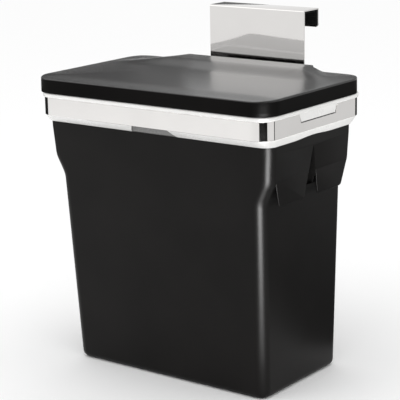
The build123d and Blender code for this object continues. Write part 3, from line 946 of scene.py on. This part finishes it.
def turned_ring(x, depth, radius, height, count=24):
    """Level circle of points."""
    angles = [math.tau * turn / count for turn in range(count)]
    return [Vector((x + radius * math.cos(angle), back(depth) + radius * math.sin(angle), height))
            for angle in angles]


# ------------------------------------------------------------------ hook bracket

def bent_strip(path, half_at, sheet):
    """Sheet metal that follows a path of (depth, height) points, with its half width at each point."""
    rows = []
    for place, (depth, height) in enumerate(path):
        before = Vector(path[max(place - 1, 0)])
        after = Vector(path[min(place + 1, len(path) - 1)])
        along = (after - before).normalized()
        normal = Vector((along.y, -along.x))
        half = half_at(place)
        near = Vector((depth, height))
        far = near + normal * sheet
        rows.append([Vector((x, back(point.x), point.y)) for x, point in
                     ((-half, near), (half, near), (half, far), (-half, far))])
    return skin(rows)


def hook_path():
    """Centre of the plate's front face: up, over the door and down the lip, with round bends."""
    front = HOOK_LOW.y - FRONT
    rear = HOOK_HIGH.y - FRONT
    bottom = HOOK_LOW.z
    bend_height = HOOK_HIGH.z - HOOK_BEND
    straight = bend_height - bottom - HOOK_CORNER
    path = [(front, bottom + HOOK_CORNER * (1 - math.cos(math.radians(angle)))) for angle in range(0, 90, 15)]
    path += [(front, bottom + HOOK_CORNER + straight * step / 6) for step in range(6)]
    for centre, angles in ((front + HOOK_BEND, range(180, 89, -10)), (rear - HOOK_BEND, range(90, -1, -10))):
        for angle in angles:
            turn = math.radians(angle)
            path.append((centre + HOOK_BEND * math.cos(turn), bend_height + HOOK_BEND * math.sin(turn)))
    path.append((rear, HOOK_LIP_BOTTOM + HOOK_CORNER))
    path += [(rear, HOOK_LIP_BOTTOM + HOOK_CORNER * (1 - math.sin(math.radians(angle))))
             for angle in range(15, 91, 15)]
    return path


class BIN_OT_hook(bpy.types.Operator):
    """Polished steel hook bracket, folded over the door's top edge"""
    bl_idname = "bin.hook"
    bl_label = "Hook bracket"

    def execute(self, context):
        path = hook_path()
        half = HOOK_HIGH.x
        corner = HOOK_CORNER

        def half_at(place):
            end = HOOK_LIP_BOTTOM if place > len(path) / 2 else HOOK_LOW.z
            rise = min(max(corner - (path[place][1] - end), 0.0), corner)
            return half - (corner - math.sqrt(max(corner ** 2 - rise ** 2, 0.0)))

        hook = to_object(bent_strip(path, half_at, HOOK_SHEET), "hook_bracket")
        combine(hook, self.screw_cutters(), "DIFFERENCE")
        round_edges(hook, 0.3 * mm, segments=3, angle=math.radians(50))
        steel = polished_steel("hook_steel", context.scene.bin_colours.steel)
        finish_piece(hook, "frame", steel, ["hook_bracket"])
        return {"FINISHED"}

    def screw_cutters(self):
        """Countersunk holes through the plate."""
        cutters = []
        face = HOOK_LOW.y
        turns = [math.tau * turn / 32 for turn in range(32)]
        for x, height in HOOK_SCREWS:
            rings = []
            for radius, offset in ((2.05, -1.0), (2.05, 0.0), (3.65, 1.5), (3.65, 2.5)):
                rings.append([Vector((x + radius * mm * math.cos(angle), face + offset * mm,
                                      height + radius * mm * math.sin(angle))) for angle in turns])
            cutters.append(to_object(skin(rings), "hole_cutter"))
        return cutters


# ------------------------------------------------------------------ rubber pads

def ribbed_block(name, low, high, rib_axis, ribs, outward):
    """Rubber pad between two corners, with shallow ribs on its outward face, counted along rib_axis."""
    thick = [axis for axis in range(3) if outward[axis]][0]
    side = outward[thick]
    run = 3 - thick - rib_axis
    top = high[thick] if side > 0 else low[thick]
    foot = low[thick] if side > 0 else high[thick]
    outline = [(low[rib_axis], foot)]
    count = ribs * 8
    for step in range(count + 1):
        share = step / count
        wave = 0.5 - 0.5 * math.cos(math.tau * ribs * share)
        along = low[rib_axis] + (high[rib_axis] - low[rib_axis]) * share
        outline.append((along, top - side * RIB_DEPTH * (1 - wave)))
    outline.append((high[rib_axis], foot))

    def corner(along, level, reach):
        point = [0.0, 0.0, 0.0]
        point[rib_axis], point[thick], point[run] = along, level, reach
        return point

    points = [corner(along, level, low[run]) for along, level in outline]
    offset = corner(0.0, 0.0, high[run] - low[run])
    return to_object(prism(points, offset), name)


class BIN_OT_pads(bpy.types.Operator):
    """Ribbed rubber pads of the hook"""
    bl_idname = "bin.pads"
    bl_label = "Hook pads"

    def execute(self, context):
        rubber = soft_rubber("pad_rubber", (0.006, 0.006, 0.006))
        lip = ribbed_block("hook_lip_pad", *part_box("hook_lip_pad"), 2, 8, (0, -1, 0))
        saddle = ribbed_block("hook_saddle_pad", *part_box("hook_saddle_pad"), 1, 9, (0, 0, -1))
        low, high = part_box("plate_pads")
        halves = []
        for start, end in ((low.x, -PLATE_PAD_INNER), (PLATE_PAD_INNER, high.x)):
            near, far = Vector((start, low.y, low.z)), Vector((end, high.y, high.z))
            halves.append(ribbed_block("plate_pad", near, far, 2, 7, (0, 1, 0)))
        plate = combine(halves[0], [halves[1]], "UNION")
        plate.name = "plate_pads"
        for piece, node in ((lip, "hook_lip_pad"), (saddle, "hook_saddle_pad"), (plate, "plate_pads")):
            round_edges(piece, 0.2 * mm, angle=math.radians(60))
            finish_piece(piece, "frame", rubber, [node], angle=math.radians(50))
        return {"FINISHED"}


# ------------------------------------------------------------------ fasteners by Geometry Nodes, and finishes of carried-over pieces

class PlacedTree:
    """Geometry Nodes tree that puts one lathe-turned part on every point of a mesh."""

    def __init__(self, name):
        self.tree = bpy.data.node_groups.new(name, "GeometryNodeTree")
        self.tree.interface.new_socket("Geometry", in_out="INPUT", socket_type="NodeSocketGeometry")
        self.tree.interface.new_socket("Geometry", in_out="OUTPUT", socket_type="NodeSocketGeometry")
        self.source = self.tree.nodes.new("NodeGroupInput")
        self.target = self.tree.nodes.new("NodeGroupOutput")
        self.names = {}

    def size(self, name, default):
        """Named size of the tree, with its default."""
        made = self.tree.interface.new_socket(name, in_out="INPUT", socket_type="NodeSocketFloat")
        made.default_value = default
        self.names[name] = made.identifier
        return self.source.outputs[name]

    def add(self, kind, settings=None, inputs=None):
        made = self.tree.nodes.new(kind)
        for key, value in (settings or {}).items():
            setattr(made, key, value)
        for key, value in (inputs or {}).items():
            if isinstance(value, bpy.types.NodeSocket):
                self.tree.links.new(value, made.inputs[key])
            else:
                made.inputs[key].default_value = value
        return made


def turned_tree(name, material):
    """Head, shank and cross recess on every point; sizes are inputs of the tree."""
    build = PlacedTree(name)
    head_radius = build.size("Head radius", 3.5 * mm)
    head_foot = build.size("Head foot radius", 3.5 * mm)
    head_height = build.size("Head height", 2.0 * mm)
    shank_radius = build.size("Shank radius", 1.75 * mm)
    shank_length = build.size("Shank length", 20.0 * mm)
    tilt = build.size("Tilt", 0.0)
    recess = build.size("Recess width", 0.9 * mm)

    def moved(mesh, height):
        offset = build.add("ShaderNodeCombineXYZ", None, {"Z": height})
        shift = build.add("GeometryNodeTransform", None, {"Geometry": mesh, "Translation": offset.outputs[0]})
        return shift.outputs[0]

    def maths(operation, first, second):
        return build.add("ShaderNodeMath", {"operation": operation}, {0: first, 1: second}).outputs[0]

    head = build.add("GeometryNodeMeshCone", None, {
        "Vertices": 32, "Radius Top": head_radius, "Radius Bottom": head_foot, "Depth": head_height})
    shank = build.add("GeometryNodeMeshCylinder", None, {
        "Vertices": 20, "Radius": shank_radius, "Depth": shank_length})
    shank_mesh = moved(shank.outputs[0], maths("MULTIPLY", shank_length, -0.5))
    bar_length = maths("MULTIPLY", head_radius, 1.25)
    bars = []
    for turn in (0, 1):
        lengths = (bar_length, recess) if turn else (recess, bar_length)
        size = build.add("ShaderNodeCombineXYZ", None, {"X": lengths[0], "Y": lengths[1], "Z": head_height})
        bar = build.add("GeometryNodeMeshCube", None, {"Size": size.outputs[0]})
        bars.append(moved(bar.outputs[0], maths("MULTIPLY", head_height, 0.75)))
    cross = build.add("GeometryNodeMeshBoolean", {"operation": "UNION"})
    for bar in bars:
        build.tree.links.new(bar, cross.inputs["Mesh 2"])
    cut = build.add("GeometryNodeMeshBoolean", {"operation": "DIFFERENCE"}, {"Mesh 1": head.outputs[0]})
    build.tree.links.new(cross.outputs[0], cut.inputs["Mesh 2"])
    joined = build.add("GeometryNodeJoinGeometry")
    for part in (cut.outputs[0], shank_mesh):
        build.tree.links.new(part, joined.inputs[0])
    turn = build.add("ShaderNodeCombineXYZ", None, {"X": tilt})
    placed = build.add("GeometryNodeInstanceOnPoints", None, {
        "Points": build.source.outputs["Geometry"], "Instance": joined.outputs[0],
        "Rotation": turn.outputs[0]})
    real = build.add("GeometryNodeRealizeInstances", None, {0: placed.outputs[0]})
    coated = build.add("GeometryNodeSetMaterial", None, {0: real.outputs[0], "Material": material})
    build.tree.links.new(coated.outputs[0], build.target.inputs[0])
    return build


def place_turned(name, points, sizes, material, body):
    """Runs the tree on a mesh of points and keeps the result as one plain piece."""
    build = turned_tree(name + "_tree", material)
    data = bpy.data.meshes.new(name)
    data.from_pydata(points, [], [])
    piece = bpy.data.objects.new(name, data)
    bpy.context.scene.collection.objects.link(piece)
    modifier = piece.modifiers.new("turned", "NODES")
    modifier.node_group = build.tree
    for key, value in sizes.items():
        modifier[build.names[key]] = value
    settle(piece)
    if not piece.data.polygons:
        raise RuntimeError(name + " came out empty")
    finish_piece(piece, body, material, [name])


def screw_sizes(head, head_foot, head_height, shank, shank_length, recess, tilt=0.0):
    """A screw's sizes, given in millimetres, under the tree's names."""
    lengths = {"Head radius": head, "Head foot radius": head_foot, "Head height": head_height,
               "Shank radius": shank, "Shank length": shank_length, "Recess width": recess}
    return {**{name: length * mm for name, length in lengths.items()}, "Tilt": tilt}


class BIN_OT_fasteners(bpy.types.Operator):
    """Screws of the lid, the hinge bridge and the hook"""
    bl_idname = "bin.fasteners"
    bl_label = "Fasteners"

    def execute(self, context):
        zinc = drawn_steel("zinc_steel", (0.62, 0.62, 0.60), 0.30)
        lid_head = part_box("lid_screws")[0].z + 0.8 * mm
        bridge_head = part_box("bridge_screws")[1].z - 2.3 * mm
        hook_head = HOOK_LOW.y + HOOK_SHEET - 1.45 * mm
        screws = [
            ("lid_screws", "lid", [(x, back(depth), lid_head) for x, depth in LID_SCREWS],
             screw_sizes(2.8, 2.8, 1.55, 1.4, 8.0, 0.7, math.pi)),
            ("bridge_screws", "frame", [(x, back(depth), bridge_head) for x, depth in BRIDGE_SCREWS],
             screw_sizes(3.5, 3.5, 2.25, 1.75, 21.5, 0.9)),
            ("bracket_screws", "frame", [(x, hook_head, height) for x, height in HOOK_SCREWS],
             screw_sizes(3.58, 2.0, 1.42, 2.0, 12.6, 0.9, -math.pi / 2)),
        ]
        for name, body, points, sizes in screws:
            place_turned(name, points, sizes, zinc, body)
        return {"FINISHED"}


class BIN_OT_carried_over(bpy.types.Operator):
    """Finishes of the CAD pieces whose shape is already right"""
    bl_idname = "bin.carried_over"
    bl_label = "Hinge, panel and bumpers"

    def execute(self, context):
        sizes = context.scene.bin_sizes
        grain = sizes.grain_depth * 2
        textured = moulded_black("textured_plastic", (0.012, 0.0115, 0.011), 0.52, grain, 0.35)
        rubber = soft_rubber("bumper_rubber", (0.014, 0.014, 0.014))
        drawn = drawn_steel("pin_steel", (0.60, 0.60, 0.59), 0.26)
        brass = drawn_steel("nut_brass", (0.72, 0.53, 0.24), 0.30)
        nylon = plain_nylon("bush_nylon", (0.74, 0.73, 0.69))
        finishes = {
            "hinge_bridge": textured, "lid_inner_panel": textured,
            "lower_bumpers": rubber, "lid_bumpers": rubber,
            "hinge_pin": drawn, "pin_clips": drawn,
            "bracket_nuts": brass, "hinge_bushes": nylon,
        }
        for node, material in finishes.items():
            paint(node, material)
        return {"FINISHED"}


# ------------------------------------------------------------------ stage

STAGE_RADIUS = 0.85
# Reflection cards round the bin: from and to angle, low and high edge, brightness, and the radius where
# it isn't the stage's. Angles are from straight in front of the bin, to the right.
CARDS = [
    ("corner_strip", 36, 66, 0.0, 0.094, 66.0),
    ("camera_gap", 33, 72, 0.098, 0.75, 0.01),
    ("right_strip", 73, 110, 0.0, 1.3, 0.95),
    ("right_line", 111, 117, 0.09, 0.5, 0.02),
    ("side_grey", 118, 151, 0.0, 1.3, 0.8),
    ("rear_dark", 152, 292, 0.0, 0.20, 0.02),
    ("rear_grey", 150, 225, 0.36, 0.66, 0.17),
    ("left_grey", 225, 292, 0.36, 0.66, 0.08),
    ("left_box", 280, 372, 0.36, 1.3, 1.5),
    ("hook_glint", 170, 225, 0.38, 0.43, 0.9, 0.22),
]
# Reflection cards on the floor: from and to angle, inner and outer radius, brightness at each.
FLOOR_CARDS = [
    ("floor_strip", 38, 62, 0.24, 0.85, 5.0, 62.0),
    ("floor_dark", 112, 178, 0.17, 0.86, 0.15, 0.35),
]


# Order of a strip's four corners, which sets the side it faces.
FACING_IN = (0, 2, 3, 1)
FACING_UP = (0, 1, 3, 2)


def curved_strip(name, start, end, borders, order):
    """Strip from one angle to another, between two (radius, height) borders."""
    count = max(2, round((end - start) / 6))
    mesh = bmesh.new()
    columns = []
    for step in range(count + 1):
        angle = math.radians(start + (end - start) * step / count)
        columns.append([mesh.verts.new((radius * math.sin(angle), -radius * math.cos(angle), height))
                        for radius, height in borders])
    for left, right in zip(columns, columns[1:]):
        corners = left + right
        mesh.faces.new([corners[place] for place in order])
    return to_object(mesh, "card_" + name)


def reflection_card(name, start, end, low, high, brightness, radius=STAGE_RADIUS):
    """Upright curved card that is seen only in reflections."""
    card = curved_strip(name, start, end, ((radius, low), (radius, high)), FACING_IN)
    card.data.materials.append(Shader("card_light_" + name).glow((1.0, 1.0, 1.0), brightness))
    hide_from_all_but_gloss(card)


def floor_card(name, start, end, inner, outer, inner_brightness, outer_brightness):
    """Flat card on the floor that is seen only in reflections and brightens with distance."""
    card = curved_strip(name, start, end, ((inner, 1 * mm), (outer, 1 * mm)), FACING_UP)
    shader = Shader("card_light_" + name)
    distance = shader.node("ShaderNodeVectorMath", {"operation": "LENGTH"}, {0: shader.place()}, output=1)
    level = distance.smooth(inner, outer) * (outer_brightness - inner_brightness) + inner_brightness
    card.data.materials.append(shader.glow(level))
    hide_from_all_but_gloss(card)


def hide_from_all_but_gloss(card):
    card.visible_camera = False
    card.visible_diffuse = False
    card.visible_shadow = False
    card.visible_transmission = False


def soft_light(name, place, aim, size, power):
    data = bpy.data.lights.new(name, "AREA")
    data.shape = "RECTANGLE"
    data.size, data.size_y = size
    data.energy = power
    light = bpy.data.objects.new(name, data)
    light.location = place
    light.rotation_euler = (Vector(aim) - Vector(place)).to_track_quat("-Z", "Y").to_euler()
    light.visible_camera = False
    light.visible_glossy = False
    bpy.context.scene.collection.objects.link(light)


class BIN_OT_stage(bpy.types.Operator):
    """Pale floor, studio lights, reflection cards and the camera"""
    bl_idname = "bin.stage"
    bl_label = "Studio stage"

    def execute(self, context):
        self.floor(context)
        self.world()
        for card in CARDS:
            reflection_card(*card)
        for card in FLOOR_CARDS:
            floor_card(*card)
        soft_light("top_light", (0.2, -0.4, 1.6), (0.0, 0.0, 0.2), (1.2, 1.2), 3.0)
        soft_light("front_light", (-0.9, -1.3, 1.0), (0.0, 0.0, 0.2), (1.0, 1.0), 2.0)
        self.camera()
        return {"FINISHED"}

    def floor(self, context):
        mesh = bmesh.new()
        size = 30.0
        mesh.faces.new([mesh.verts.new(point) for point in
                        ((-size, -size, 0), (size, -size, 0), (size, size, 0), (-size, size, 0))])
        floor = to_object(mesh, "floor")
        shader = Shader("floor_paper")
        grain = shader.noise(40.0, 3.0)
        colour = context.scene.bin_colours.floor
        shade = shader.mix(grain, tinted(colour, 0.995), colour)
        paper = shader.finish(base_color=shade, roughness=0.9 + grain * 0.05, specular_ior_level=0.0)
        floor.data.materials.append(paper)

    def world(self):
        world = bpy.data.worlds.new("studio")
        bpy.context.scene.world = world
        world.use_nodes = True
        backdrop = world.node_tree.nodes["Background"]
        backdrop.inputs["Color"].default_value = (1.0, 1.0, 1.0, 1.0)
        backdrop.inputs["Strength"].default_value = 1.0
        bpy.context.scene.view_settings.view_transform = "Standard"

    def camera(self):
        """Camera at the right of the front, a little above the lid."""
        turn, rise, roll = math.radians(37.02), math.radians(13.89), math.radians(-1.084)
        place = Vector((0.9535, -1.2868, 0.5730))
        towards = Vector((-math.sin(turn) * math.cos(rise), math.cos(turn) * math.cos(rise), -math.sin(rise)))
        right = towards.cross(Vector((0, 0, 1))).normalized()
        up = right.cross(towards)
        across = right * math.cos(roll) + up * math.sin(roll)
        upward = up * math.cos(roll) - right * math.sin(roll)
        rows = Matrix((across, upward, -towards)).transposed().to_4x4()
        data = bpy.data.cameras.new("camera")
        data.sensor_width = 36.0
        data.lens = 137.84
        camera = bpy.data.objects.new("camera", data)
        camera.matrix_world = Matrix.Translation(place) @ rows
        bpy.context.scene.collection.objects.link(camera)
        bpy.context.scene.camera = camera


# ------------------------------------------------------------------ panel and start

OPERATORS = [
    BIN_OT_bucket, BIN_OT_support_ring, BIN_OT_steel_band, BIN_OT_liner_rim, BIN_OT_lid, BIN_OT_hook,
    BIN_OT_pads, BIN_OT_fasteners, BIN_OT_carried_over, BIN_OT_stage,
]


class BIN_PT_panel(bpy.types.Panel):
    """Lists the bin's sizes, colours and pieces"""
    bl_idname = "BIN_PT_panel"
    bl_label = "Waste bin"
    bl_space_type = "VIEW_3D"
    bl_region_type = "UI"
    bl_category = "Waste bin"

    def draw(self, context):
        for group in (context.scene.bin_sizes, context.scene.bin_colours):
            box = self.layout.box()
            for name in group.bl_rna.properties.keys():
                if name not in ("rna_type", "name"):
                    box.prop(group, name)
        for operator in OPERATORS:
            self.layout.operator(operator.bl_idname)


CLASSES = [BinSizes, BinColours, *OPERATORS, BIN_PT_panel]


def register():
    for kind in CLASSES:
        bpy.utils.register_class(kind)
    bpy.types.Scene.bin_sizes = bpy.props.PointerProperty(type=BinSizes)
    bpy.types.Scene.bin_colours = bpy.props.PointerProperty(type=BinColours)


def unregister():
    del bpy.types.Scene.bin_colours
    del bpy.types.Scene.bin_sizes
    for kind in reversed(CLASSES):
        bpy.utils.unregister_class(kind)


def main():
    register()
    bpy.ops.bin.bucket()
    bpy.ops.bin.support_ring()
    bpy.ops.bin.steel_band()
    bpy.ops.bin.liner_rim()
    bpy.ops.bin.lid()
    bpy.ops.bin.hook()
    bpy.ops.bin.pads()
    bpy.ops.bin.fasteners()
    bpy.ops.bin.carried_over()
    bpy.ops.bin.stage()


if __name__ == "__main__":
    main()
